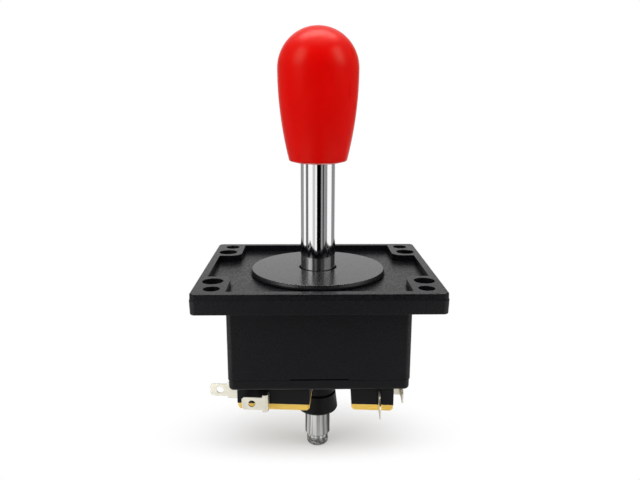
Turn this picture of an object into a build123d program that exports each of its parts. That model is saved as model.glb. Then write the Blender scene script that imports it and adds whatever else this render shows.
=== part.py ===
"""Panel-mounted arcade joystick lever, in millimetres.

The origin is on the lever's axis at the level of the mounting plate's rim. +Z points up the lever
to the handle, +X to the right and +Y away from the player.
"""

import os
from math import cos, radians, sin, sqrt, tan

from build123d import *

# Mounting plate and box, one moulding
PLATE_W = 95.2
PLATE_L = 81.4
PLATE_T = 8.1
PLATE_CORNER_R = 2.2
PLATE_DRAFT = 2.0
PARTING_DEPTH = 2.6
PARTING_STEP = 0.15
PLATE_EDGE_R = 0.5
RIM_W = 3.2
TRAY_DEPTH = 3.0
PAD_LEN_X = 12.9
PAD_LEN_Y = 23.5
PAD_CORNER_R = 4.5
SMALL_HOLE_D = 6.4
SMALL_HOLE_INSET_X = 7.3
SMALL_HOLE_INSET_Y = 6.8
BIG_HOLE_D = 8.2
BIG_HOLE_INSET_X = 6.3
BIG_HOLE_INSET_Y = 16.9
BOX_W = 70.5
BOX_BOTTOM = 36.4
BOX_WALL = 2.6
BOX_CORNER_R = 2.0

# Base that closes the box and carries the switches
BASE_T = 4.5
BASE_FLOOR = 3.0
BASE_INSET = 0.25
SEAM_H = 0.2
SEAM_DEPTH = 0.6
BASE_EDGE_R = 1.5
BASE_RIM_H = 3.0
BASE_RIM_T = 2.0
LATCH_W = 22.6
LATCH_H = 7.0
LATCH_T = 1.8
LATCH_BEAD = 0.7
SLIT_H = 0.45
SLIT_DEPTH = 1.0
SPRING_LIP_T = 1.4
SPRING_LIP_H = 1.5
GATE_CORNER_R = 3.0

# Lever travel
TILT = 8.0
PIVOT_DEPTH = 18.0
LEVER_CLEARANCE = 0.5

# Handle and shaft
BAT_TOP = 97.6
BAT_BOTTOM = 43.7
BAT_D = 32.9
BAT_BOTTOM_D = 23.8
BAT_FOOT_FLAT = 1.0
BAT_FOOT_RISE = 0.9
BAT_EDGE_R = 1.0
SHAFT_D = 14.75
SHAFT_ENTRY = 7.0
SPIGOT_D = 9.5
SPIGOT_L = 30.0
LOWER_D = 11.0
SHAFT_BOTTOM = 83.3
TIP_D = 9.5
TIP_L = 3.4
TIP_R = 1.2
NECK_D = 9.0
NECK_L = 1.2

# Pivot ball and its cup
BALL_D = 24.0
BALL_TOP = 8.5
SEAT_WALL = 4.5
SEAT_LIP = 2.0
FLANGE_D = 31.0
FLANGE_T = 2.5
FLANGE_DROP = 6.0
COLLAR_WALL = 1.2
COLLAR_H = 1.5

# Centring spring
SPRING_D = 26.8
SPRING_WIRE_D = 1.6
SPRING_TURNS = 3.5

# Retaining rings
E_RING_D = 16.0
E_RING_T = 0.9
E_GROOVE_D = 8.4
E_RING_TOOTH_W = 3.0

# Washers in the tray
WASHER_D = 56.6
WASHER_TOP_D = 55.8
WASHER_T = 1.9
WASHER_HOLE_D = 16.0
WASHER_TOP_DEPTH = 0.65
WASHER_BEVEL_H = 1.2
SLIP_RING_D = 40.0

# Actuator
ACTUATOR_D = 15.6
ACTUATOR_DROP = 2.7
ACTUATOR_RIM = 57.2
ACTUATOR_BOTTOM = 66.0
ACTUATOR_GROOVE_H = 1.0
ACTUATOR_GROOVE_DEPTH = 0.7
FLARE_TOP_D = 16.1
FLARE_D = 17.8
FLARE_EDGE = 0.7
E_RING_POCKET = 2.4

# Microswitch
SWITCH_L = 28.7
SWITCH_DEPTH = 16.6
SWITCH_T = 10.7
SWITCH_START = 32.4
SWITCH_REACH = 29.35
SWITCH_YAW = 4.5
COVER_T = 2.95
COVER_CORNER_R = 1.6
COVER_EDGE_R = 1.4
FACE_DRAFT = 4.0
CAVITY_FIRST = 4.6
CAVITY_LAST = 22.4
CAVITY_OUTER = 3.2
CAVITY_INNER = 13.0
CAVITY_ROOF = 1.2
PEG_D = 2.9
PEG_SPACING_L = 22.2
PEG_SPACING_D = 10.3
PEG_INSET_L = 2.7
PEG_INSET_D = 3.0
PEG_TIP_GAP = 0.4
POCKET_W = 3.4
POCKET_H = 2.2
POCKET_DEPTH = 1.0
POCKET_FIRST = 3.3
POCKET_PITCH = 5.3

# Switch terminals, 4.75 mm blades
TAB_T = 0.5
TAB_W = 5.2
TAB_ROOT_W = 7.0
TAB_HOLE_D = 2.8
TAB_HOLE_INSET = 4.0
TAB_CHAMFER = 0.9
END_TAB_HEIGHT = 5.5
END_TAB_INSET = 5.7
END_TAB_ROOT = 5.0
END_TAB_BLADE = 7.15
END_TAB_INSIDE = 8.0
SIDE_TAB_HEIGHT = 4.85
SIDE_TAB_AT = 12.55
SIDE_TAB_STAND = 3.8
SIDE_TAB_ROOT = 2.0
SIDE_TAB_BLADE = 8.1
SIDE_TAB_INSIDE = 8.6
TAB_BEND_R = 0.9

# Switch plunger, contact blade and leaf
PLUNGER_D = 3.0
PLUNGER_STOP_D = 4.4
PLUNGER_STOP_T = 0.8
PLUNGER_TAIL = 0.6
PLUNGER_ROOM = 1.4
PLUNGER_TIP_R = 1.0
BLADE_T = 0.3
BLADE_W = 3.4
BLADE_FIRST = 6.2
BLADE_LAST = 21.0
LEAF_W = 2.6
LEAF_T = 0.4
LEAF_OVERREACH = 3.5
LEAF_GAP = 1.4
PIN_D = 1.6
KNUCKLE_WALL = 0.7
HINGE_INSET = 11.5
HINGE_STAND = 2.6
LUG_T = 0.8
LUG_W = 3.2
PLUNGER_FROM_HINGE = 7.0

# Clearances
GRIP_GAP = 0.03
SLIDE_GAP = 0.1
BALL_GAP = 0.15
FIT_GAP = 0.1
LEAF_TO_PLUNGER = 0.2

# Switches stand at each quarter turn, seen from above
SWITCH_TURNS = {"front": 0, "right": 90, "back": 180, "left": 270}

# Levels and angles that follow from the sizes above
diagonal_cos = cos(radians(TILT)) ** 2
diagonal_tan = sqrt(1 / diagonal_cos**2 - 1)
shaft_r = SHAFT_D / 2
lower_r = LOWER_D / 2
ball_r = BALL_D / 2
pivot_z = -PIVOT_DEPTH
base_z = -BOX_BOTTOM - BASE_T
floor_z = base_z + BASE_FLOOR
opening_r = shaft_r / diagonal_cos + (PIVOT_DEPTH - TRAY_DEPTH) * diagonal_tan + LEVER_CLEARANCE
gate_lean = (pivot_z - base_z) * tan(radians(TILT)) / cos(radians(TILT))
gate_half = lower_r / diagonal_cos + gate_lean + LEVER_CLEARANCE
grip_r = lower_r + GRIP_GAP


def turn_outline(points):
    """Revolve a closed outline of (radius, height) points about the lever's axis."""
    with BuildSketch(Plane.XZ) as outline:
        with BuildLine():
            Polyline(*points, close=True)
        make_face()
    revolve(outline.sketch, axis=Axis.Z)


def switch_place(turn):
    """Place of a switch's corner, on the side at this turn about the lever's axis."""
    return Rotation(0, 0, turn) * Pos(-SWITCH_START, -SWITCH_REACH, 0) * Rotation(0, 0, -SWITCH_YAW)


os.makedirs("parts", exist_ok=True)

# Upper housing: plate with tray, pads and bolt holes, box walls, and the cup for the pivot ball
parting_grow = 2 * PARTING_DEPTH * tan(radians(PLATE_DRAFT))
skirt_grow = parting_grow + 2 * PARTING_STEP
box_inner = BOX_W - 2 * BOX_WALL
seat_bottom = PIVOT_DEPTH - SEAT_LIP
latch_groove_z = -BOX_BOTTOM + LATCH_H - LATCH_BEAD

with BuildPart() as upper_housing:
    with BuildSketch(Plane.XY.offset(-PARTING_DEPTH)):
        RectangleRounded(PLATE_W + parting_grow, PLATE_L + parting_grow, PLATE_CORNER_R)
    extrude(amount=PARTING_DEPTH, taper=PLATE_DRAFT)
    with BuildSketch(Plane.XY.offset(-PARTING_DEPTH)):
        RectangleRounded(PLATE_W + skirt_grow, PLATE_L + skirt_grow, PLATE_CORNER_R)
    extrude(amount=PARTING_DEPTH - PLATE_T, taper=PLATE_DRAFT)
    fillet(upper_housing.faces().sort_by(Axis.Z)[-1].edges(), PLATE_EDGE_R)
    fillet(upper_housing.faces().sort_by(Axis.Z)[0].edges(), PLATE_EDGE_R)

    with BuildSketch() as tray:
        Rectangle(PLATE_W - 2 * RIM_W, PLATE_L - 2 * RIM_W)
        with GridLocations(PLATE_W - PAD_LEN_X, PLATE_L - PAD_LEN_Y, 2, 2):
            Rectangle(PAD_LEN_X, PAD_LEN_Y, mode=Mode.SUBTRACT)
        fillet(tray.vertices().sort_by_distance((0, 0))[:4], PAD_CORNER_R)
    extrude(amount=-TRAY_DEPTH, mode=Mode.SUBTRACT)

    with BuildSketch(Plane.XY.offset(-PLATE_T)):
        RectangleRounded(BOX_W, BOX_W, BOX_CORNER_R)
        Rectangle(box_inner, box_inner, mode=Mode.SUBTRACT)
        Circle(ball_r + SEAT_WALL)
    extrude(amount=PLATE_T - seat_bottom)
    with BuildSketch(Plane.XY.offset(-seat_bottom)):
        RectangleRounded(BOX_W, BOX_W, BOX_CORNER_R)
        Rectangle(box_inner, box_inner, mode=Mode.SUBTRACT)
    extrude(amount=seat_bottom - BOX_BOTTOM)

    with BuildSketch():
        Circle(opening_r)
    extrude(amount=-seat_bottom, mode=Mode.SUBTRACT)
    with Locations((0, 0, pivot_z)):
        Sphere(ball_r + BALL_GAP, mode=Mode.SUBTRACT)

    with BuildSketch():
        with GridLocations(PLATE_W - 2 * SMALL_HOLE_INSET_X, PLATE_L - 2 * SMALL_HOLE_INSET_Y, 2, 2):
            Circle(SMALL_HOLE_D / 2)
        with GridLocations(PLATE_W - 2 * BIG_HOLE_INSET_X, PLATE_L - 2 * BIG_HOLE_INSET_Y, 2, 2):
            Circle(BIG_HOLE_D / 2)
    extrude(amount=-PLATE_T, mode=Mode.SUBTRACT)

    with Locations((0, 0, -BOX_BOTTOM)):
        with PolarLocations(BOX_W / 2, len(SWITCH_TURNS)):
            Box(2 * SLIT_DEPTH, LATCH_W, 2 * SLIT_H, mode=Mode.SUBTRACT)
    with Locations((0, 0, latch_groove_z)):
        with PolarLocations(box_inner / 2, len(SWITCH_TURNS)):
            Box(
                2 * (LATCH_BEAD + FIT_GAP),
                LATCH_W + 2 * FIT_GAP,
                2 * (LATCH_BEAD + FIT_GAP),
                mode=Mode.SUBTRACT,
            )

upper_housing.part.label = "upper_housing"
export_step(upper_housing.part, "parts/upper_housing.step")

# Base: shallow lid with a locating rim, four latches, a square gate and pegs for the switches
base_w = BOX_W - 2 * BASE_INSET
rim_w = box_inner - 2 * FIT_GAP
spring_lip_r = SPRING_D / 2 + SPRING_WIRE_D / 2 + FIT_GAP
peg_l = SWITCH_T - PEG_TIP_GAP
peg_places = [
    (PEG_INSET_L, PEG_INSET_D),
    (PEG_INSET_L + PEG_SPACING_L, PEG_INSET_D + PEG_SPACING_D),
]

with BuildPart() as base_plate:
    with BuildSketch(Plane.XY.offset(base_z)):
        RectangleRounded(base_w, base_w, BOX_CORNER_R)
    extrude(amount=BASE_T)
    fillet(base_plate.faces().sort_by(Axis.Z)[0].edges(), BASE_EDGE_R)
    with BuildSketch(Plane.XY.offset(-BOX_BOTTOM)):
        Rectangle(base_w, base_w)
        Rectangle(base_w - 2 * SEAM_DEPTH, base_w - 2 * SEAM_DEPTH, mode=Mode.SUBTRACT)
    extrude(amount=-SEAM_H, mode=Mode.SUBTRACT)
    with BuildSketch(Plane.XY.offset(-BOX_BOTTOM)):
        Rectangle(rim_w, rim_w)
    extrude(amount=BASE_RIM_H)
    with BuildSketch(Plane.XY.offset(floor_z)):
        Rectangle(rim_w - 2 * BASE_RIM_T, rim_w - 2 * BASE_RIM_T)
    extrude(amount=BASE_T + BASE_RIM_H, mode=Mode.SUBTRACT)
    with Locations((0, 0, -BOX_BOTTOM + LATCH_H / 2)):
        with PolarLocations(rim_w / 2 - LATCH_T / 2, len(SWITCH_TURNS)):
            Box(LATCH_T, LATCH_W, LATCH_H)
    with Locations((0, 0, latch_groove_z)):
        with PolarLocations(rim_w / 2, len(SWITCH_TURNS)):
            Box(2 * LATCH_BEAD, LATCH_W, 2 * LATCH_BEAD)
    with BuildSketch(Plane.XY.offset(floor_z)):
        Circle(spring_lip_r + SPRING_LIP_T)
        Circle(spring_lip_r, mode=Mode.SUBTRACT)
    extrude(amount=SPRING_LIP_H)
    with BuildSketch(Plane.XY.offset(base_z)):
        RectangleRounded(2 * gate_half, 2 * gate_half, GATE_CORNER_R)
    extrude(amount=BASE_T, mode=Mode.SUBTRACT)
    with BuildSketch(Plane.XY.offset(base_z)):
        for turn in SWITCH_TURNS.values():
            with Locations(switch_place(turn)):
                with Locations(peg_places):
                    Circle(PEG_D / 2)
    extrude(amount=-peg_l)

base_plate.part.label = "base_plate"
export_step(base_plate.part, "parts/base_plate.step")

# Lever shaft: thick above the ball, thin below, grooved for two retaining rings, stepped at its end
shoulder_z = pivot_z + BALL_TOP
flange_z = pivot_z - FLANGE_DROP - FLANGE_T
e_groove_r = E_GROOVE_D / 2
e_groove_h = E_RING_T + SLIDE_GAP
actuator_ring_z = -ACTUATOR_BOTTOM + E_RING_POCKET
spigot_top = BAT_BOTTOM + SHAFT_ENTRY + SPIGOT_L
tip_top = -SHAFT_BOTTOM + TIP_L
neck_top = tip_top + NECK_L

with BuildPart() as lever_shaft:
    turn_outline(
        [
            (0, spigot_top),
            (SPIGOT_D / 2, spigot_top),
            (SPIGOT_D / 2, BAT_BOTTOM + SHAFT_ENTRY),
            (shaft_r, BAT_BOTTOM + SHAFT_ENTRY),
            (shaft_r, shoulder_z),
            (lower_r, shoulder_z),
            (lower_r, flange_z),
            (e_groove_r, flange_z),
            (e_groove_r, flange_z - e_groove_h),
            (lower_r, flange_z - e_groove_h),
            (lower_r, actuator_ring_z),
            (e_groove_r, actuator_ring_z),
            (e_groove_r, actuator_ring_z - e_groove_h),
            (lower_r, actuator_ring_z - e_groove_h),
            (lower_r, neck_top + lower_r - NECK_D / 2),
            (NECK_D / 2, neck_top),
            (NECK_D / 2, tip_top),
            (TIP_D / 2, tip_top),
            (TIP_D / 2, -SHAFT_BOTTOM),
            (0, -SHAFT_BOTTOM),
        ]
    )
    fillet(lever_shaft.faces().sort_by(Axis.Z)[0].edges(), TIP_R)

lever_shaft.part.label = "lever_shaft"
export_step(lever_shaft.part, "parts/lever_shaft.step")

# Bat handle: domed top, sides that curve in to the foot, moulded over the shaft's end
dome_r = BAT_D / 2
dome_z = BAT_TOP - dome_r
foot_r = BAT_BOTTOM_D / 2
foot_z = BAT_BOTTOM + BAT_FOOT_RISE
foot_flat_r = shaft_r + BAT_FOOT_FLAT

with BuildPart() as bat_handle:
    with BuildSketch(Plane.XZ):
        with BuildLine():
            Polyline((0, BAT_BOTTOM), (foot_flat_r, BAT_BOTTOM), (foot_r, foot_z))
            TangentArc((dome_r, dome_z), (foot_r, foot_z), tangent=(0, -1))
            RadiusArc((dome_r, dome_z), (0, BAT_TOP), -dome_r)
            Line((0, BAT_TOP), (0, BAT_BOTTOM))
        make_face()
    revolve(axis=Axis.Z)
    fillet(bat_handle.edges().filter_by(GeomType.CIRCLE).sort_by(Axis.Z)[1], BAT_EDGE_R)
    with BuildSketch(Plane.XY.offset(BAT_BOTTOM)):
        Circle(shaft_r + GRIP_GAP)
    extrude(amount=SHAFT_ENTRY, mode=Mode.SUBTRACT)
    with BuildSketch(Plane.XY.offset(BAT_BOTTOM)):
        Circle(SPIGOT_D / 2 + GRIP_GAP)
    extrude(amount=SHAFT_ENTRY + SPIGOT_L, mode=Mode.SUBTRACT)

bat_handle.part.label = "bat_handle"
export_step(bat_handle.part, "parts/bat_handle.step")

# Pivot ball: a ball cut flat on top, with a spring flange and a collar that centres the spring
ball_top_r = sqrt(ball_r**2 - BALL_TOP**2)
ball_neck_r = sqrt(ball_r**2 - FLANGE_DROP**2)
collar_r = SPRING_D / 2 - SPRING_WIRE_D / 2 - FIT_GAP

with BuildPart() as pivot_ball:
    with BuildSketch(Plane.XZ):
        with BuildLine():
            Line((grip_r, shoulder_z), (ball_top_r, shoulder_z))
            ThreePointArc(
                (ball_top_r, shoulder_z),
                (ball_r, pivot_z),
                (ball_neck_r, pivot_z - FLANGE_DROP),
            )
            Polyline(
                (ball_neck_r, pivot_z - FLANGE_DROP),
                (FLANGE_D / 2, pivot_z - FLANGE_DROP),
                (FLANGE_D / 2, flange_z),
                (collar_r, flange_z),
                (collar_r, flange_z - COLLAR_H),
                (collar_r - COLLAR_WALL, flange_z - COLLAR_H),
                (collar_r - COLLAR_WALL, flange_z),
                (grip_r, flange_z),
                (grip_r, shoulder_z),
            )
        make_face()
    revolve(axis=Axis.Z)

pivot_ball.part.label = "pivot_ball"
export_step(pivot_ball.part, "parts/pivot_ball.step")

# Centring spring between the ball's flange and the base floor
spring_pitch = (flange_z - floor_z - SPRING_WIRE_D) / SPRING_TURNS
spring_z = floor_z + SPRING_WIRE_D / 2

with BuildPart() as centring_spring:
    with BuildLine() as coil:
        Helix(spring_pitch, spring_pitch * SPRING_TURNS, SPRING_D / 2, center=(0, 0, spring_z))
    with BuildSketch(Plane(origin=coil.line @ 0, z_dir=coil.line % 0)):
        Circle(SPRING_WIRE_D / 2)
    sweep(path=coil.line, is_frenet=True)

centring_spring.part.label = "centring_spring"
export_step(centring_spring.part, "parts/centring_spring.step")


# Retaining rings: open rings with three teeth that reach the groove
def draw_e_ring():
    """Draw a retaining ring, open towards -X, in the current sketch."""
    Circle(E_RING_D / 2)
    Circle(lower_r + FIT_GAP, mode=Mode.SUBTRACT)
    with PolarLocations(lower_r, 3, start_angle=-90, angular_range=180, endpoint=True):
        Rectangle(2 * (lower_r - e_groove_r), E_RING_TOOTH_W)
    Circle(e_groove_r + GRIP_GAP, mode=Mode.SUBTRACT)
    with Locations((-E_RING_D / 2, 0)):
        Rectangle(E_RING_D, E_GROOVE_D, mode=Mode.SUBTRACT)


with BuildPart() as pivot_e_ring:
    with BuildSketch(Plane.XY.offset(flange_z - E_RING_T)):
        draw_e_ring()
    extrude(amount=E_RING_T)

pivot_e_ring.part.label = "pivot_e_ring"
export_step(pivot_e_ring.part, "parts/pivot_e_ring.step")

with BuildPart() as actuator_e_ring:
    with BuildSketch(Plane.XY.offset(actuator_ring_z - E_RING_T)):
        draw_e_ring()
    extrude(amount=E_RING_T)

actuator_e_ring.part.label = "actuator_e_ring"
export_step(actuator_e_ring.part, "parts/actuator_e_ring.step")

# Actuator: sleeve on the lower shaft, plain above the groove, flared below it
pocket_r = E_RING_D / 2 + FIT_GAP
groove_r = ACTUATOR_D / 2 - ACTUATOR_GROOVE_DEPTH
flare_top_z = -ACTUATOR_RIM - ACTUATOR_GROOVE_H
actuator_top = base_z - ACTUATOR_DROP

with BuildPart() as actuator:
    turn_outline(
        [
            (grip_r, actuator_top),
            (ACTUATOR_D / 2, actuator_top),
            (ACTUATOR_D / 2, -ACTUATOR_RIM),
            (groove_r, -ACTUATOR_RIM),
            (groove_r, flare_top_z),
            (FLARE_TOP_D / 2, flare_top_z),
            (FLARE_D / 2, -ACTUATOR_BOTTOM + FLARE_EDGE),
            (FLARE_D / 2 - FLARE_EDGE / 2, -ACTUATOR_BOTTOM),
            (pocket_r, -ACTUATOR_BOTTOM),
            (pocket_r, actuator_ring_z),
            (grip_r, actuator_ring_z),
        ]
    )

actuator.part.label = "actuator"
export_step(actuator.part, "parts/actuator.step")

# Dust washer and the slip ring under it
washer_z = -WASHER_TOP_DEPTH - WASHER_T
slip_hole_r = shaft_r / diagonal_cos + (washer_z - pivot_z) * diagonal_tan + LEVER_CLEARANCE

with BuildPart() as dust_washer:
    turn_outline(
        [
            (WASHER_HOLE_D / 2, washer_z),
            (WASHER_D / 2, washer_z),
            (WASHER_D / 2, -WASHER_TOP_DEPTH - WASHER_BEVEL_H),
            (WASHER_TOP_D / 2, -WASHER_TOP_DEPTH),
            (WASHER_HOLE_D / 2, -WASHER_TOP_DEPTH),
        ]
    )

dust_washer.part.label = "dust_washer"
export_step(dust_washer.part, "parts/dust_washer.step")

with BuildPart() as slip_ring:
    with BuildSketch(Plane.XY.offset(-TRAY_DEPTH)):
        Circle(SLIP_RING_D / 2)
        Circle(slip_hole_r, mode=Mode.SUBTRACT)
    extrude(amount=washer_z + TRAY_DEPTH)

slip_ring.part.label = "slip_ring"
export_step(slip_ring.part, "parts/slip_ring.step")

# Microswitch, drawn with its outward corner at the tab end over the origin. u runs along it from
# the tab end, v from its outward face towards the lever, and w up from its underside
switch_plane = Plane(origin=(0, 0, base_z - SWITCH_T))
yaw_cos = cos(radians(SWITCH_YAW))
yaw_sin = sin(radians(SWITCH_YAW))
lever_u = SWITCH_START * yaw_cos - SWITCH_REACH * yaw_sin
lever_v = SWITCH_START * yaw_sin + SWITCH_REACH * yaw_cos
face_slope = tan(radians(FACE_DRAFT))
work_h = (COVER_T + SWITCH_T) / 2
work_face = SWITCH_DEPTH + (work_h - COVER_T) * face_slope
hinge_v = work_face + HINGE_STAND
contact_v = lever_v - ACTUATOR_D / 2 - LEAF_GAP - LEAF_T / 2
leaf_slope = (contact_v - hinge_v) / (lever_u - HINGE_INSET)
plunger_u = HINGE_INSET + PLUNGER_FROM_HINGE
plunger_tip = hinge_v + PLUNGER_FROM_HINGE * leaf_slope - LEAF_T / 2 - LEAF_TO_PLUNGER
plunger_stop = CAVITY_INNER - PLUNGER_ROOM
plunger_end = plunger_stop - PLUNGER_STOP_T - PLUNGER_TAIL
blade_top = plunger_end - SLIDE_GAP
blade_under = blade_top - BLADE_T
inside_low = COVER_T + FIT_GAP
end_inside_w = END_TAB_HEIGHT + TAB_ROOT_W / 2 - inside_low
side_inside_w = SIDE_TAB_HEIGHT + TAB_ROOT_W / 2 - inside_low
slot_w = TAB_T + 2 * FIT_GAP
corner = (Align.MIN, Align.MIN)
lug_inner = CAVITY_INNER + (SWITCH_DEPTH - CAVITY_INNER) / 2
lug_outer = hinge_v + PIN_D / 2 + KNUCKLE_WALL
lug_gap = LEAF_W / 2 + SLIDE_GAP
side_plane = Plane(origin=switch_plane.origin, x_dir=(1, 0, 0), z_dir=(0, -1, 0))
plunger_plane = Plane(origin=switch_plane.from_local_coords((plunger_u, 0, work_h)), z_dir=(0, 1, 0))
end_tab_tip = -END_TAB_ROOT - END_TAB_BLADE
side_tab_root = SIDE_TAB_AT - SIDE_TAB_ROOT
side_tab_tip = side_tab_root - SIDE_TAB_BLADE


def at_height(w):
    """The switch's plane, raised by w."""
    return switch_plane.offset(w)


def drill_pegs():
    """Cut the two peg holes upwards from the switch's underside."""
    with BuildSketch(switch_plane) as pegs:
        with Locations(peg_places):
            Circle(PEG_D / 2 + FIT_GAP)
    extrude(pegs.sketch, amount=SWITCH_T, mode=Mode.SUBTRACT)


with BuildPart() as switch_case:
    for height in (COVER_T, SWITCH_T):
        with BuildSketch(at_height(height)):
            Rectangle(SWITCH_L, SWITCH_DEPTH + (height - COVER_T) * face_slope, align=corner)
    loft()
    with BuildSketch(at_height(COVER_T)):
        with Locations((CAVITY_FIRST, CAVITY_OUTER)):
            Rectangle(CAVITY_LAST - CAVITY_FIRST, CAVITY_INNER - CAVITY_OUTER, align=corner)
    extrude(amount=SWITCH_T - COVER_T - CAVITY_ROOF, mode=Mode.SUBTRACT)
    with BuildSketch(at_height(SWITCH_T)):
        with Locations((POCKET_FIRST, 0), (POCKET_FIRST + POCKET_PITCH, 0)):
            Rectangle(POCKET_W, POCKET_DEPTH, align=corner)
    extrude(amount=-POCKET_H, mode=Mode.SUBTRACT)
    for low in (work_h - lug_gap - LUG_T, work_h + lug_gap):
        with BuildSketch(at_height(low)):
            with Locations((HINGE_INSET - LUG_W / 2, lug_inner)):
                Rectangle(LUG_W, lug_outer - lug_inner, align=corner)
        extrude(amount=LUG_T)
    with BuildSketch(at_height(work_h - lug_gap)):
        with Locations((HINGE_INSET, hinge_v)):
            Circle(PIN_D / 2)
    extrude(amount=2 * lug_gap)
    with BuildSketch(plunger_plane.offset(CAVITY_INNER)):
        Circle(PLUNGER_D / 2 + SLIDE_GAP)
    extrude(amount=SWITCH_DEPTH, mode=Mode.SUBTRACT)
    with BuildSketch(at_height(COVER_T)):
        with Locations((0, END_TAB_INSET - slot_w / 2)):
            Rectangle(CAVITY_FIRST, slot_w, align=corner)
    extrude(amount=end_inside_w + 2 * FIT_GAP, mode=Mode.SUBTRACT)
    with BuildSketch(at_height(COVER_T)):
        with Locations((SIDE_TAB_AT - slot_w / 2, 0)):
            Rectangle(slot_w, CAVITY_OUTER, align=corner)
    extrude(amount=side_inside_w + 2 * FIT_GAP, mode=Mode.SUBTRACT)
    drill_pegs()

with BuildPart() as switch_cover:
    with BuildSketch(switch_plane):
        Rectangle(SWITCH_L, SWITCH_DEPTH, align=corner)
    extrude(amount=COVER_T)
    fillet(switch_cover.edges().filter_by(Axis.Z), COVER_CORNER_R)
    fillet(switch_cover.faces().sort_by(Axis.Z)[0].edges(), COVER_EDGE_R)
    drill_pegs()

with BuildPart() as end_tab:
    with BuildSketch(at_height(END_TAB_HEIGHT - TAB_W / 2)):
        with BuildLine():
            Line((end_tab_tip, END_TAB_INSET), (-END_TAB_ROOT, END_TAB_INSET))
        trace(line_width=TAB_T)
    extrude(amount=TAB_W)
    chamfer(end_tab.edges().filter_by(Axis.Y).group_by(Axis.X)[0], TAB_CHAMFER)
    with BuildSketch(at_height(END_TAB_HEIGHT - TAB_ROOT_W / 2)):
        with BuildLine():
            Line((-END_TAB_ROOT, END_TAB_INSET), (0, END_TAB_INSET))
        trace(line_width=TAB_T)
    extrude(amount=TAB_ROOT_W)
    with BuildSketch(at_height(inside_low)):
        with BuildLine():
            FilletPolyline(
                (0, END_TAB_INSET),
                (END_TAB_INSIDE, END_TAB_INSET),
                (END_TAB_INSIDE, blade_under),
                radius=TAB_BEND_R,
            )
        trace(line_width=TAB_T)
    extrude(amount=end_inside_w)
    with BuildSketch(side_plane):
        with Locations((end_tab_tip + TAB_HOLE_INSET, END_TAB_HEIGHT)):
            Circle(TAB_HOLE_D / 2)
    extrude(amount=-SWITCH_DEPTH, mode=Mode.SUBTRACT)

with BuildPart() as side_tab:
    with BuildSketch(at_height(SIDE_TAB_HEIGHT - TAB_W / 2)):
        with BuildLine():
            Line((side_tab_tip, -SIDE_TAB_STAND), (side_tab_root, -SIDE_TAB_STAND))
        trace(line_width=TAB_T)
    extrude(amount=TAB_W)
    chamfer(side_tab.edges().filter_by(Axis.Y).group_by(Axis.X)[0], TAB_CHAMFER)
    with BuildSketch(at_height(SIDE_TAB_HEIGHT - TAB_ROOT_W / 2)):
        with BuildLine():
            FilletPolyline(
                (side_tab_root, -SIDE_TAB_STAND),
                (SIDE_TAB_AT, -SIDE_TAB_STAND),
                (SIDE_TAB_AT, 0),
                radius=TAB_BEND_R,
            )
        trace(line_width=TAB_T)
    extrude(amount=TAB_ROOT_W)
    with BuildSketch(at_height(inside_low)):
        with BuildLine():
            Line((SIDE_TAB_AT, 0), (SIDE_TAB_AT, SIDE_TAB_INSIDE))
        trace(line_width=TAB_T)
    extrude(amount=side_inside_w)
    with BuildSketch(side_plane):
        with Locations((side_tab_tip + TAB_HOLE_INSET, SIDE_TAB_HEIGHT)):
            Circle(TAB_HOLE_D / 2)
    extrude(amount=SWITCH_DEPTH, mode=Mode.SUBTRACT)

with BuildPart() as snap_blade:
    with BuildSketch(at_height(work_h - BLADE_W / 2)):
        with Locations((BLADE_FIRST, blade_under)):
            Rectangle(BLADE_LAST - BLADE_FIRST, BLADE_T, align=corner)
    extrude(amount=BLADE_W)

with BuildPart() as switch_plunger:
    with BuildSketch(plunger_plane.offset(plunger_end)):
        Circle(PLUNGER_D / 2)
    extrude(amount=plunger_tip - plunger_end)
    fillet(switch_plunger.faces().sort_by(Axis.Y)[-1].edges(), PLUNGER_TIP_R)
    with BuildSketch(plunger_plane.offset(plunger_stop - PLUNGER_STOP_T)):
        Circle(PLUNGER_STOP_D / 2)
    extrude(amount=PLUNGER_STOP_T)

leaf_plane = Plane(
    origin=switch_plane.from_local_coords((HINGE_INSET, hinge_v, work_h - LEAF_W / 2)),
    x_dir=(1, leaf_slope, 0),
    z_dir=(0, 0, 1),
)

with BuildPart() as switch_leaf:
    with BuildSketch(leaf_plane):
        Rectangle(lever_u - HINGE_INSET + LEAF_OVERREACH, LEAF_T, align=(Align.MIN, Align.CENTER))
        Circle(PIN_D / 2 + SLIDE_GAP / 2 + KNUCKLE_WALL)
        Circle(PIN_D / 2 + SLIDE_GAP / 2, mode=Mode.SUBTRACT)
    extrude(amount=LEAF_W)

# Four of the switch stand round the lever
switch_pieces = {
    "switch_case": switch_case,
    "switch_cover": switch_cover,
    "end_tab": end_tab,
    "side_tab": side_tab,
    "snap_blade": snap_blade,
    "switch_plunger": switch_plunger,
    "switch_leaf": switch_leaf,
}
for side, turn in SWITCH_TURNS.items():
    for word, piece in switch_pieces.items():
        placed = switch_place(turn) * piece.part
        placed.label = f"{side}_{word}"
        export_step(placed, f"parts/{placed.label}.step")
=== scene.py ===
"""Finishes, light and camera for a panel-mounted arcade joystick lever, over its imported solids."""

import math

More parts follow.
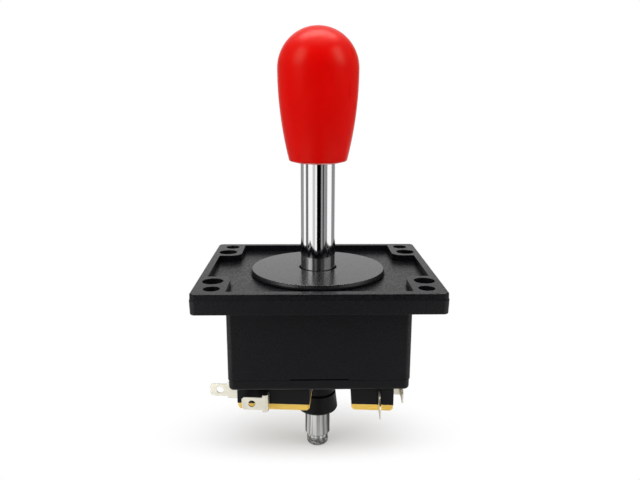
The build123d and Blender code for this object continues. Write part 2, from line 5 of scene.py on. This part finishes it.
import bpy
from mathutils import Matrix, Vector


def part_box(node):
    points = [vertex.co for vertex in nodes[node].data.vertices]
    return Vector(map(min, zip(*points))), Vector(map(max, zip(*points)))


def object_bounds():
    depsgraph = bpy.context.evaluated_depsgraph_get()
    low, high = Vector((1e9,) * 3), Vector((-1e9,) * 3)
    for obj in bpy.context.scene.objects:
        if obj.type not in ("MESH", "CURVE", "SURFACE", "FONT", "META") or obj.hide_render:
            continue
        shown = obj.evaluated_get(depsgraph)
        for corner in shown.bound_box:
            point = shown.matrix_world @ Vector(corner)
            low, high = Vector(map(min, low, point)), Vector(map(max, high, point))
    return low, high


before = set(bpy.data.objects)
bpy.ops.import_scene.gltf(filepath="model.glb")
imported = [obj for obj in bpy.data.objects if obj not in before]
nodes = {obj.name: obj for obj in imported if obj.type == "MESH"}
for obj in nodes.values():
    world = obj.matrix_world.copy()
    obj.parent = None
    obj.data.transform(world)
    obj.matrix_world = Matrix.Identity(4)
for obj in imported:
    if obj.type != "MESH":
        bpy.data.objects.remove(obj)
cad_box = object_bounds()

SIDES = ("front", "right", "back", "left")
MM = 0.001
WHITE = (1.0, 1.0, 1.0)
GROUND = cad_box[0][2]

# Camera, from the photograph's own edges: metres, degrees, and millimetres for the lens and sensor
CAMERA_PLACE = (-4.623 * MM, -249.172 * MM, 66.808 * MM)
CAMERA_PITCH = 77.389
CAMERA_ROLL = -0.162
CAMERA_YAW = -1.231
CAMERA_LENS = 33.804
SENSOR_WIDTH = 36.0
CLIP_START = 0.01

# Levels of the room: white to the eye and in reflections, softer as light on the object
ROOM_WHITE = 1.0
ROOM_LIGHT = 0.42
FLOOR_GAP = 0.1 * MM
FLOOR_SIZE = 8.0
FLOOR_TONE = (0.84, 0.86, 0.89)

# Painted outline of the floor's shadow, for the eye and in reflections: within an ellipse the floor's
# matte shows its real shadow, and outside it the floor glows white. Its middle left of and behind the
# lever, its width over its depth, how much sooner it ends in front, and how the floor's own white takes
# over
SHADE_LEFT = 4 * MM
SHADE_BACK = 3 * MM
SHADE_STRETCH = 1.7
SHADE_FRONT = 2.0
SHADE_RIM = 46 * MM
SHADE_LIFT = 0.26

# Softboxes: place, height of the point on the lever's axis that each faces, width, height, power,
# and whether matte surfaces see it; the others only add a highlight
SOFTBOXES = {
    "top_softbox": ((0.0, -0.1, 0.95), 0.03, 0.6, 0.5, 3.7, True),
    "left_softbox": ((-0.8, -0.45, 0.55), 0.04, 0.4, 0.8, 4.6, True),
    "right_softbox": ((0.85, -0.3, 0.55), 0.04, 0.35, 0.8, 3.6, True),
    "top_glint": ((0.0, 0.2, 0.9), 0.08, 0.95, 0.3, 20.0, False),
    "left_glint": ((-0.76, -0.47, 0.6), 0.08, 0.4, 0.6, 12.0, False),
    "right_glint": ((0.79, -0.42, 0.6), 0.08, 0.4, 0.6, 11.0, False),
}

# Cards round the lever that only reflections see: from and to degrees right of the front, and level.
# Each tier stands between two rings, given by reach and height.
CARD_STEP = 3.0
CARD_REACH = 0.3
CARD_FOOT = (CARD_REACH, GROUND)
CARD_TOP = (CARD_REACH, 0.02)
CARDS = (
    (-8.0, 18.0, 0.0),
    (18.0, 29.5, 0.28),
    (29.5, 36.5, 0.01),
    (36.5, 61.0, 0.27),
    (96.0, 138.0, 0.26),
    (-36.0, -18.0, 0.6),
    (-86.0, -66.0, 0.17),
    (-152.0, -106.0, 0.3),
)

# A second tier of cards above them, which the plating shows by way of the dust washer
HOOD_TOP = (CARD_REACH, 0.3)
HOODS = (
    (-8.0, 18.0, 0.0),
    (18.0, 42.0, 0.1),
    (42.0, 92.0, 0.45),
    (92.0, 150.0, 0.03),
    (-24.0, -8.0, 0.3),
    (-38.0, -24.0, 0.0),
    (-65.0, -38.0, 1.3),
    (-88.0, -65.0, 0.35),
    (-150.0, -88.0, 0.08),
)

# Bright mats on the floor, which the box's rounded corners show
MAT_NEAR = (0.14, GROUND)
MAT_FAR = (0.29, GROUND)
MATS = (
    (-75.0, -26.0, 3.7),
    (26.0, 75.0, 3.2),
)

# Small mats round the lever's foot, which its bare steel shows
FOOT_NEAR = (0.007, GROUND)
FOOT_FAR = (0.055, GROUND)
FOOT_MATS = (
    (-165.0, -108.0, 0.2),
    (-108.0, -76.0, 0.9),
    (-76.0, -64.0, 0.5),
    (-64.0, -12.0, 1.25),
    (-12.0, 22.0, 0.66),
    (22.0, 42.0, 1.1),
    (42.0, 62.0, 0.5),
    (62.0, 86.0, 0.95),
    (86.0, 100.0, 0.35),
    (100.0, 165.0, 0.12),
)

TIERS = (
    ("card", CARDS, CARD_FOOT, CARD_TOP),
    ("hood", HOODS, CARD_TOP, HOOD_TOP),
    ("mat", MATS, MAT_NEAR, MAT_FAR),
    ("foot_mat", FOOT_MATS, FOOT_NEAR, FOOT_FAR),
)

# The middle of a noise's range, which most finishes stretch
MIDDLE = (0.3, 0.7)

# Sharp edges: how far the eased normal has turned from the face, as 1 less the cosine, where wear
# begins and where it is full
EDGE_TURN = (0.005, 0.12)
EDGE_SAMPLES = 4

# Painted shade in inner corners, a dark matte mixed in where ambient occlusion finds them: how far it
# reaches, the share of open sky where it is full and where it ends, and its colour
NOOK_REACH = 2.5 * MM
NOOK_SKY = (0.36, 0.86)
PAINTED_NOOK_SHADE = (0.008, 0.008, 0.009)
NOOK_SAMPLES = 8

# Sockets of a Mix node that mixes colours, by number because their names repeat
MIX_SHARE = 0
MIX_FIRST = 6
MIX_SECOND = 7
MIX_RESULT = 2


class Signal:
    """A shader socket that takes part in Python arithmetic: each step adds one Math node."""

    def __init__(self, tree, socket):
        self.tree = tree
        self.socket = socket

    def step(self, operation, *terms):
        """One Math node on these terms."""
        node = self.tree.nodes.new("ShaderNodeMath")
        node.operation = operation
        for slot, term in zip(node.inputs, terms):
            feed(self.tree, slot, term)
        return Signal(self.tree, node.outputs[0])

    def __add__(self, other):
        return self.step("ADD", self, other)

    def __radd__(self, other):
        return self.step("ADD", other, self)

    def __sub__(self, other):
        return self.step("SUBTRACT", self, other)

    def __rsub__(self, other):
        return self.step("SUBTRACT", other, self)

    def __mul__(self, other):
        return self.step("MULTIPLY", self, other)

    def __rmul__(self, other):
        return self.step("MULTIPLY", other, self)

    def __truediv__(self, other):
        return self.step("DIVIDE", self, other)

    def __rtruediv__(self, other):
        return self.step("DIVIDE", other, self)

    def __pow__(self, other):
        return self.step("POWER", self, other)

    def __rpow__(self, other):
        return self.step("POWER", other, self)


def feed(tree, slot, value):
    """Link a signal to a socket, or set the socket to a plain value."""
    if isinstance(value, Signal):
        tree.links.new(value.socket, slot)
    else:
        slot.default_value = value


def colour(value):
    """A colour with its alpha, or the signal as it is."""
    return value if isinstance(value, Signal) else (*value, 1.0)


def scaled(tone, factor, lift=0.0):
    """A colour times a factor, and lifted."""
    return [factor * part + lift for part in tone]


class Finish:
    """A node tree with one way to add a node, and the steps that the finishes share."""

    def __init__(self, tree):
        self.tree = tree
        tree.nodes.clear()

    def node(self, kind, settings, inputs, output=0):
        """Add a node: its settings first, then its sockets by name or number; gives one output, if any."""
        made = self.tree.nodes.new(kind)
        for name, value in settings.items():
            setattr(made, name, value)
        for name, value in inputs.items():
            feed(self.tree, made.inputs[name], value)
        return Signal(self.tree, made.outputs[output]) if made.outputs else None

    def place(self):
        """Coordinates that stay with the piece, in metres."""
        return self.node("ShaderNodeTexCoord", {}, {}, "Object")

    def axis(self, name):
        """One coordinate of the piece, in metres."""
        return self.node("ShaderNodeSeparateXYZ", {}, {"Vector": self.place()}, name)

    def noise(self, scale, detail=3.0, stretch=(1, 1, 1)):
        """Cloudy noise from 0 to 1, with scale features in a metre, squeezed by stretch."""
        at = self.node(
            "ShaderNodeVectorMath", {"operation": "MULTIPLY"}, {0: self.place(), 1: stretch}
        )
        return self.node(
            "ShaderNodeTexNoise", {}, {"Vector": at, "Scale": scale, "Detail": detail}, "Fac"
        )

    def spread(self, signal, low, high, start=0.0, end=1.0):
        """Map a signal from a range to another, smoothly and with both ends held."""
        return self.node(
            "ShaderNodeMapRange",
            {"interpolation_type": "SMOOTHSTEP"},
            {"Value": signal, "From Min": low, "From Max": high, "To Min": start, "To Max": end},
        )

    def tint(self, share, first, second):
        """A colour between two, by share."""
        return self.node(
            "ShaderNodeMix",
            {"data_type": "RGBA"},
            {MIX_SHARE: share, MIX_FIRST: colour(first), MIX_SECOND: colour(second)},
            MIX_RESULT,
        )

    def eased(self, radius):
        """A surface normal that turns smoothly over sharp edges."""
        return self.node("ShaderNodeBevel", {"samples": EDGE_SAMPLES}, {"Radius": radius})

    def edges(self, radius):
        """1 along sharp edges, falling to 0 within radius of them."""
        rounded = self.eased(radius)
        flat = self.node("ShaderNodeNewGeometry", {}, {}, "Normal")
        agree = self.node(
            "ShaderNodeVectorMath", {"operation": "DOT_PRODUCT"}, {0: rounded, 1: flat}, "Value"
        )
        return self.spread(1 - agree, *EDGE_TURN)

    def painted_nook_mask(self):
        """1 deep in inner corners, 0 in the open: how much lies close to the surface, the mask of the
        painted shade.
        """
        sky = self.node(
            "ShaderNodeAmbientOcclusion", {"samples": NOOK_SAMPLES}, {"Distance": NOOK_REACH}, "AO"
        )
        return self.spread(sky, *NOOK_SKY, 1.0, 0.0)

    def bump(self, height, strength, distance, over=None):
        """A surface normal from a height, over the surface's own normal or another."""
        inputs = {"Height": height, "Strength": strength, "Distance": distance}
        if over:
            inputs["Normal"] = over
        return self.node("ShaderNodeBump", {}, inputs)

    def show(self, shader):
        """End the tree with this shader."""
        self.node("ShaderNodeOutputMaterial", {}, {"Surface": shader})

    def surface(self, sockets, painted_shade=None):
        """End the tree with a Principled shader, which gives way by the given mask to a dark matte, the
        painted nook shade.
        """
        shader = self.node("ShaderNodeBsdfPrincipled", {}, sockets)
        if painted_shade:
            matte = self.node("ShaderNodeBsdfDiffuse", {}, {"Color": colour(PAINTED_NOOK_SHADE)})
            shader = self.node("ShaderNodeMixShader", {}, {0: painted_shade, 1: shader, 2: matte})
        self.show(shader)


def finish(name):
    """A new material and its empty node tree."""
    material = bpy.data.materials.new(name)
    material.use_nodes = True
    return material, Finish(material.node_tree)


# Black mouldings. Features to the metre, depth of the grain, reach of pale edges (wear plus a painted
# highlight) and eased edges, and shine
MOULD_GRAIN = 1100
MOULD_MOTTLE = 140
MOULD_SCUFFS = 420
MOULD_DEPTH = 0.08 * MM
MOULD_WORN_GLINT_EDGE = 0.35 * MM
MOULD_EASED_EDGE = 0.3 * MM
MOULD_SHINE = 0.115
# The tone where mottle is dark and pale and along pale edges, worn and partly a painted highlight, and the
# height that mottle adds to grain
MOULD_DARK = 0.72
MOULD_PALE = 1.3
MOULD_WORN_GLINT_TONE = 3.2
MOULD_WORN_GLINT_LIFT = 0.004
MOULD_MOTTLE_HEIGHT = 0.4
# Where scuffs begin and are full, wear between them, and how much the pale edge (wear plus a painted
# highlight) shows and polishes
MOULD_SCUFFED = (0.25, 0.6)
MOULD_LEAST_WEAR = 0.35
MOULD_WEAR_AND_GLINT = 0.5
MOULD_POLISH = 0.1
# How far the grain takes the roughness down and up
MOULD_SMOOTHER = 0.09
MOULD_ROUGHER = 0.1


def moulded_black(name, tone, roughness, grain):
    """Black moulding with a spark-eroded grain, pale along its edges from wear and a painted highlight."""
    material, f = finish(name)
    fine = f.noise(MOULD_GRAIN, detail=4.0)
    mottle = f.noise(MOULD_MOTTLE, detail=4.0)
    scuffs = f.spread(f.noise(MOULD_SCUFFS), *MOULD_SCUFFED, MOULD_LEAST_WEAR, 1.0)
    # Pale edges: wear, and partly a painted highlight where edges catch the light
    pale_edge = f.edges(MOULD_WORN_GLINT_EDGE) * scuffs
    body = f.tint(mottle, scaled(tone, MOULD_DARK), scaled(tone, MOULD_PALE))
    pale = scaled(tone, MOULD_WORN_GLINT_TONE, MOULD_WORN_GLINT_LIFT)
    gloss = f.spread(fine, *MIDDLE, roughness - MOULD_SMOOTHER, roughness + MOULD_ROUGHER)
    height = fine + MOULD_MOTTLE_HEIGHT * mottle
    f.surface(
        {
            "Base Color": f.tint(pale_edge * MOULD_WEAR_AND_GLINT, body, pale),
            "Roughness": gloss - MOULD_POLISH * pale_edge,
            "Normal": f.bump(height, grain, MOULD_DEPTH, f.eased(MOULD_EASED_EDGE)),
            "Specular IOR Level": MOULD_SHINE,
        },
        # Painted shade: a dark matte in inner corners
        f.painted_nook_mask(),
    )
    return material


# Red handle. Features to the metre, with rub marks drawn out along it, and the orange peel's relief
BAT_CLOUD = 45
BAT_PEEL = 900
BAT_RUB = 260
BAT_RUB_DRAWN = (1, 1, 0.35)
BAT_RUB_HEIGHT = 0.5
BAT_RELIEF = 0.06
BAT_DEPTH = 0.08 * MM
# Its colours, where rub marks begin and are full, roughness from one to the other, shine and pale sheen
BAT_DEEP = (0.66, 0.0003, 0.0002)
BAT_BRIGHT = (0.75, 0.0006, 0.0004)
BAT_RUBBED = (0.3, 0.75)
BAT_ROUGHNESS = (0.27, 0.36)
BAT_SHINE = 0.04
BAT_SHINE_TINT = (1.0, 0.9, 0.6)
BAT_SHEEN = 0.12
BAT_SHEEN_ROUGHNESS = 0.4
BAT_SHEEN_TINT = (1.0, 0.8, 0.5)


def bat_red():
    """Satin red handle with a faint orange peel."""
    material, f = finish("bat_red")
    cloud = f.noise(BAT_CLOUD)
    peel = f.noise(BAT_PEEL, detail=2.0)
    rub = f.noise(BAT_RUB, detail=5.0, stretch=BAT_RUB_DRAWN)
    f.surface(
        {
            "Base Color": f.tint(cloud, BAT_DEEP, BAT_BRIGHT),
            "Roughness": f.spread(rub, *BAT_RUBBED, *BAT_ROUGHNESS),
            "Normal": f.bump(peel + BAT_RUB_HEIGHT * rub, BAT_RELIEF, BAT_DEPTH),
            "Specular IOR Level": BAT_SHINE,
            "Specular Tint": colour(BAT_SHINE_TINT),
            "Sheen Weight": BAT_SHEEN,
            "Sheen Roughness": BAT_SHEEN_ROUGHNESS,
            "Sheen Tint": colour(BAT_SHEEN_TINT),
        }
    )
    return material


# Shaft. From and to what height above the actuator bare steel gives way to plating, and above the
# shaft's end the cut tip gives way to drawn steel
BARE_RISE = (5.6 * MM, 9.6 * MM)
TIP_RISE = (2.8 * MM, 3.8 * MM)
# Features to the metre, drawn out along it, and the relief of drawing marks and pits
SHAFT_STREAKS = 620
SHAFT_STREAKS_DRAWN = (1, 1, 0.04)
SHAFT_PITS = 900
SHAFT_SMEARS = 90
SHAFT_SMEARS_DRAWN = (1, 1, 0.3)
SHAFT_RELIEF = 0.12
SHAFT_DEPTH = 0.05 * MM
# Its colours, and where streaks and pits begin and are full
SHAFT_PLATING = (0.94, 0.94, 0.95)
SHAFT_STREAK_DARK = (0.27, 0.268, 0.262)
SHAFT_STREAK_PALE = (0.51, 0.508, 0.498)
SHAFT_PIT_DARK = (0.07, 0.069, 0.066)
SHAFT_PIT_PALE = (0.26, 0.257, 0.25)
SHAFT_STREAKED = (0.36, 0.62)
SHAFT_PITTED = (0.35, 0.65)
# Roughness where it is smeared, and what bare steel, its streaks and the tip add
SHAFT_SMEARED = (0.3, 0.8)
SHAFT_ROUGHNESS = (0.05, 0.085)
SHAFT_BARE_ROUGHER = 0.04
SHAFT_STREAK_ROUGHER = 0.06
SHAFT_TIP_ROUGHER = 0.12


def plated_shaft():
    """Bright plating down past the ball, drawn steel with streaks along it below, and a dull cut tip."""
    material, f = finish("shaft_chrome")
    actuator_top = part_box("actuator")[1][2]
    shaft_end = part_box("lever_shaft")[0][2]
    bare = f.spread(f.axis("Z") - actuator_top, *BARE_RISE, 1.0, 0.0)
    tip = f.spread(f.axis("Z") - shaft_end, *TIP_RISE, 1.0, 0.0)
    drawn = f.noise(SHAFT_STREAKS, detail=2.0, stretch=SHAFT_STREAKS_DRAWN)
    pitted = f.noise(SHAFT_PITS)
    smear = f.noise(SHAFT_SMEARS, detail=4.0, stretch=SHAFT_SMEARS_DRAWN)
    steel = f.tint(f.spread(drawn, *SHAFT_STREAKED), SHAFT_STREAK_DARK, SHAFT_STREAK_PALE)
    cut = f.tint(f.spread(pitted, *SHAFT_PITTED), SHAFT_PIT_DARK, SHAFT_PIT_PALE)
    gloss = f.spread(smear, *SHAFT_SMEARED, *SHAFT_ROUGHNESS)
    streaky = bare * (SHAFT_BARE_ROUGHER + SHAFT_STREAK_ROUGHER * drawn)
    f.surface(
        {
            "Base Color": f.tint(bare, SHAFT_PLATING, f.tint(tip, steel, cut)),
            "Metallic": 1.0,
            "Roughness": gloss + streaky + SHAFT_TIP_ROUGHER * tip,
            "Normal": f.bump(bare * drawn + tip * pitted, SHAFT_RELIEF, SHAFT_DEPTH),
        }
    )
    return material


# Dust washer. Features to the metre, the grain's relief, and reach of its worn and eased edge
WASHER_GRAIN = 1900
WASHER_HAZE = 70
WASHER_RELIEF = 0.3
WASHER_DEPTH = 0.06 * MM
WASHER_EDGE = 0.3 * MM
# Its colours, how much wear shows, its roughness and its shine
WASHER_DARK = (0.007, 0.007, 0.0075)
WASHER_PALE = (0.013, 0.013, 0.014)
WASHER_WORN = (0.08, 0.08, 0.085)
WASHER_WEAR = 0.6
WASHER_ROUGHNESS = (0.2, 0.3)
WASHER_SHINE = 0.36


def washer_black():
    """Satin black disc with a fine turned grain."""
    material, f = finish("washer_black")
    fine = f.noise(WASHER_GRAIN)
    haze = f.noise(WASHER_HAZE, detail=4.0)
    pale_edge = f.edges(WASHER_EDGE)
    body = f.tint(haze, WASHER_DARK, WASHER_PALE)
    f.surface(
        {
            "Base Color": f.tint(pale_edge * WASHER_WEAR, body, WASHER_WORN),
            "Roughness": f.spread(fine, *MIDDLE, *WASHER_ROUGHNESS),
            "Normal": f.bump(fine + haze, WASHER_RELIEF, WASHER_DEPTH, f.eased(WASHER_EDGE)),
            "Specular IOR Level": WASHER_SHINE,
        },
        # Painted shade: a dark matte in inner corners and under the edge
        f.painted_nook_mask(),
    )
    return material


# Switch covers. Features to the metre, the grain's relief, reach of the pale edges, worn and partly a
# painted highlight, colours, roughness
COVER_CLOUD = 160
COVER_GRAIN = 2200
COVER_RELIEF = 0.08
COVER_DEPTH = 0.03 * MM
COVER_EDGE = 0.25 * MM
COVER_DEEP = (0.84, 0.515, 0.055)
COVER_BRIGHT = (0.92, 0.6, 0.085)
COVER_WORN_GLINT = (0.96, 0.8, 0.4)
COVER_WEAR_AND_GLINT = 0.6
COVER_ROUGHNESS = (0.36, 0.48)


def cover_yellow():
    """Satin yellow switch cover, a little cloudy and pale along its edges from wear and a painted
    highlight.
    """
    material, f = finish("cover_yellow")
    cloud = f.noise(COVER_CLOUD)
    grain = f.noise(COVER_GRAIN, detail=2.0)
    pale_edge = f.edges(COVER_EDGE)
    body = f.tint(cloud, COVER_DEEP, COVER_BRIGHT)
    f.surface(
        {
            # Pale edges: wear, and partly a painted highlight on the cover's edges and end walls
            "Base Color": f.tint(pale_edge * COVER_WEAR_AND_GLINT, body, COVER_WORN_GLINT),
            "Roughness": f.spread(grain, *MIDDLE, *COVER_ROUGHNESS),
            "Normal": f.bump(grain, COVER_RELIEF, COVER_DEPTH),
        }
    )
    return material


# Stamped strip. Features to the metre, relief of the rolling marks, reach and colour of the worn edges
STRIP_ROLLING = 3200
STRIP_CLOUD = 320
STRIP_RELIEF = 0.1
STRIP_DEPTH = 0.02 * MM
STRIP_EDGE = 0.15 * MM
STRIP_WORN = (0.92, 0.91, 0.9)
STRIP_WEAR = 0.5
# How much rolling marks add to the clouds, where that begins and is full, and what it adds in roughness
STRIP_MARKS = 0.5
STRIP_MARKED = (0.4, 1.1)
STRIP_ROUGHER = 0.16


def sheet_metal(name, pale, dull, roughness, streak):
    """Stamped strip: rolling marks along it and cloudy tinning."""
    material, f = finish(name)
    rolled = f.noise(STRIP_ROLLING, stretch=streak)
    cloud = f.noise(STRIP_CLOUD, detail=4.0)
    pale_edge = f.edges(STRIP_EDGE)
    body = f.tint(cloud, dull, pale)
    marks = cloud + STRIP_MARKS * rolled
    f.surface(
        {
            "Base Color": f.tint(pale_edge * STRIP_WEAR, body, STRIP_WORN),
            "Metallic": 1.0,
            "Roughness": f.spread(marks, *STRIP_MARKED, roughness, roughness + STRIP_ROUGHER),
            "Normal": f.bump(rolled, STRIP_RELIEF, STRIP_DEPTH),
        }
    )
    return material


# Natural nylon. Features to the metre, the grain's relief, the tone where it is mottled, roughness
NYLON_CLOUD = 110
NYLON_GRAIN = 1500
NYLON_RELIEF = 0.06
NYLON_DEPTH = 0.03 * MM
NYLON_DULL = 0.9
NYLON_ROUGHNESS = (0.4, 0.55)


def moulded_white(name, tone):
    """Natural nylon, faintly mottled."""
    material, f = finish(name)
    cloud = f.noise(NYLON_CLOUD, detail=4.0)
    grain = f.noise(NYLON_GRAIN, detail=2.0)
    f.surface(
        {
            "Base Color": f.tint(cloud, scaled(tone, NYLON_DULL), tone),
            "Roughness": f.spread(grain, *MIDDLE, *NYLON_ROUGHNESS),
            "Normal": f.bump(grain, NYLON_RELIEF, NYLON_DEPTH),
        }
    )
    return material


def wear(piece, material):
    """Give a node its one material."""
    slots = nodes[piece].data.materials
    slots.clear()
    slots.append(material)


# Mouldings by tone, roughness and strength of the grain, and nylon by tone
housing_black = moulded_black("housing_black", (0.0038, 0.0038, 0.0049), 0.32, 0.8)
base_black = moulded_black("base_black", (0.0039, 0.0039, 0.005), 0.38, 0.35)
case_black = moulded_black("case_black", (0.0052, 0.0052, 0.0059), 0.38, 0.2)
actuator_black = moulded_black("actuator_black", (0.0022, 0.0022, 0.0026), 0.34, 0.12)
nylon_white = moulded_white("nylon_white", (0.74, 0.73, 0.68))
plunger_white = moulded_white("plunger_white", (0.72, 0.72, 0.7))
satin_black = washer_black()

# Metals by pale and dull tone, roughness, and how rolling marks are drawn out along the piece
tab_steel = sheet_metal("tab_steel", (0.72, 0.69, 0.595), (0.56, 0.535, 0.45), 0.3, (1, 1, 0.06))
leaf_steel = sheet_metal("leaf_steel", (0.66, 0.66, 0.65), (0.5, 0.5, 0.5), 0.22, (1, 1, 0.05))
ring_steel = sheet_metal("ring_steel", (0.5, 0.49, 0.47), (0.32, 0.32, 0.32), 0.3, (1, 1, 1))
spring_steel = sheet_metal("spring_steel", (0.6, 0.6, 0.6), (0.42, 0.42, 0.42), 0.24, (1, 1, 0.2))
blade_brass = sheet_metal("blade_brass", (0.8, 0.56, 0.26), (0.6, 0.38, 0.15), 0.25, (1, 1, 0.05))

LEVER_FINISHES = {
    "upper_housing": housing_black,
    "base_plate": base_black,
    "bat_handle": bat_red(),
    "lever_shaft": plated_shaft(),
    "pivot_ball": nylon_white,
    "centring_spring": spring_steel,
    "pivot_e_ring": ring_steel,
    "actuator_e_ring": ring_steel,
    "actuator": actuator_black,
    "dust_washer": satin_black,
    "slip_ring": satin_black,
}
SWITCH_FINISHES = {
    "switch_case": case_black,
    "switch_cover": cover_yellow(),
    "end_tab": tab_steel,
    "side_tab": tab_steel,
    "switch_leaf": leaf_steel,
    "snap_blade": blade_brass,
    "switch_plunger": plunger_white,
}
for piece, material in LEVER_FINISHES.items():
    wear(piece, material)
for side in SIDES:
    for piece, material in SWITCH_FINISHES.items():
        wear(f"{side}_{piece}", material)


def add_mesh(name, points, faces):
    """A mesh object from points and faces."""
    mesh = bpy.data.meshes.new(name)
    mesh.from_pydata(points, [], faces)
    piece = bpy.data.objects.new(name, mesh)
    bpy.context.scene.collection.objects.link(piece)
    return piece


def seen_directly(f):
    """1 for rays from the eye, from a mirror or through glass, and 0 for the rest."""
    eye, mirror, glass = (
        f.node("ShaderNodeLightPath", {}, {}, kind)
        for kind in ("Is Camera Ray", "Is Glossy Ray", "Is Transmission Ray")
    )
    return eye.step("MINIMUM", eye + mirror + glass, 1.0)


def lay_floor():
    """Pale floor just under the lever's end, glowing white for the eye outside a painted shadow ellipse,
    inside which its matte shows the real shadow.
    """
    half = FLOOR_SIZE / 2
    corners = ((-half, -half), (half, -half), (half, half), (-half, half))
    floor = add_mesh("floor", [(x, y, GROUND - FLOOR_GAP) for x, y in corners], [(0, 1, 2, 3)])
    material, f = finish("floor_white")
    across = (f.axis("X") + SHADE_LEFT) / SHADE_STRETCH
    behind = f.axis("Y") - SHADE_BACK
    along = behind.step("MAXIMUM", behind, -SHADE_FRONT * behind)
    away = (across * across + along * along) ** 0.5
    # Painted shadow outline: a fixed ellipse where the white glow gives way to the matte's real shadow
    lift = f.spread(away, 0.0, SHADE_RIM, SHADE_LIFT, 1.0)
    matte = f.node("ShaderNodeBsdfDiffuse", {}, {"Color": colour(FLOOR_TONE)})
    glow = f.node("ShaderNodeEmission", {}, {"Color": colour(WHITE), "Strength": ROOM_WHITE})
    f.show(f.node("ShaderNodeMixShader", {}, {0: seen_directly(f) * lift, 1: matte, 2: glow}))
    floor.data.materials.append(material)


def fill_room():
    """A white room to the eye and in reflections, and a softer even light on the object."""
    world = bpy.data.worlds.new("room")
    bpy.context.scene.world = world
    world.use_nodes = True
    f = Finish(world.node_tree)
    level = ROOM_LIGHT + (ROOM_WHITE - ROOM_LIGHT) * seen_directly(f)
    light = f.node("ShaderNodeBackground", {}, {"Color": colour(WHITE), "Strength": level})
    f.node("ShaderNodeOutputWorld", {}, {"Surface": light})


def hang_softbox(name, place, aim, width, height, power, on_matte):
    """A rectangular soft light that faces the lever's axis; off matte surfaces it only adds a highlight."""
    lamp = bpy.data.lights.new(name, "AREA")
    lamp.shape = "RECTANGLE"
    lamp.size = width
    lamp.size_y = height
    lamp.energy = power
    holder = bpy.data.objects.new(name, lamp)
    holder.location = place
    facing = Vector((0, 0, aim)) - Vector(place)
    holder.rotation_euler = facing.to_track_quat("-Z", "Y").to_euler()
    holder.visible_diffuse = on_matte
    bpy.context.scene.collection.objects.link(holder)


def ring_point(ring, degrees):
    """A point of a ring round the lever's axis, at degrees right of the front."""
    reach, height = ring
    turn = math.radians(degrees)
    return (reach * math.sin(turn), -reach * math.cos(turn), height)


def bend_card(name, start, end, level, first, second):
    """A card bent round the lever's axis, between two rings."""
    count = math.ceil((end - start) / CARD_STEP)
    turns = [start + (end - start) * i / count for i in range(count + 1)]
    points = [ring_point(ring, turn) for turn in turns for ring in (first, second)]
    faces = [(2 * i, 2 * i + 1, 2 * i + 3, 2 * i + 2) for i in range(count)]
    card = add_mesh(name, points, faces)
    material, f = finish(name)
    f.show(f.node("ShaderNodeEmission", {}, {"Color": colour(WHITE), "Strength": level}))
    card.data.materials.append(material)
    card.visible_camera = False
    card.visible_diffuse = False
    card.visible_shadow = False


def set_camera():
    """The camera, at the photograph's angle."""
    lens = bpy.data.cameras.new("camera")
    lens.sensor_width = SENSOR_WIDTH
    lens.lens = CAMERA_LENS
    lens.clip_start = CLIP_START
    holder = bpy.data.objects.new("camera", lens)
    holder.location = CAMERA_PLACE
    holder.rotation_euler = [math.radians(a) for a in (CAMERA_PITCH, CAMERA_ROLL, CAMERA_YAW)]
    bpy.context.scene.collection.objects.link(holder)
    bpy.context.scene.camera = holder


lay_floor()
fill_room()
for name, softbox in SOFTBOXES.items():
    hang_softbox(name, *softbox)
for tier, cards, first, second in TIERS:
    for number, card in enumerate(cards):
        bend_card(f"{tier}_{number}", *card, first, second)
set_camera()
bpy.context.scene.view_settings.view_transform = "Standard"
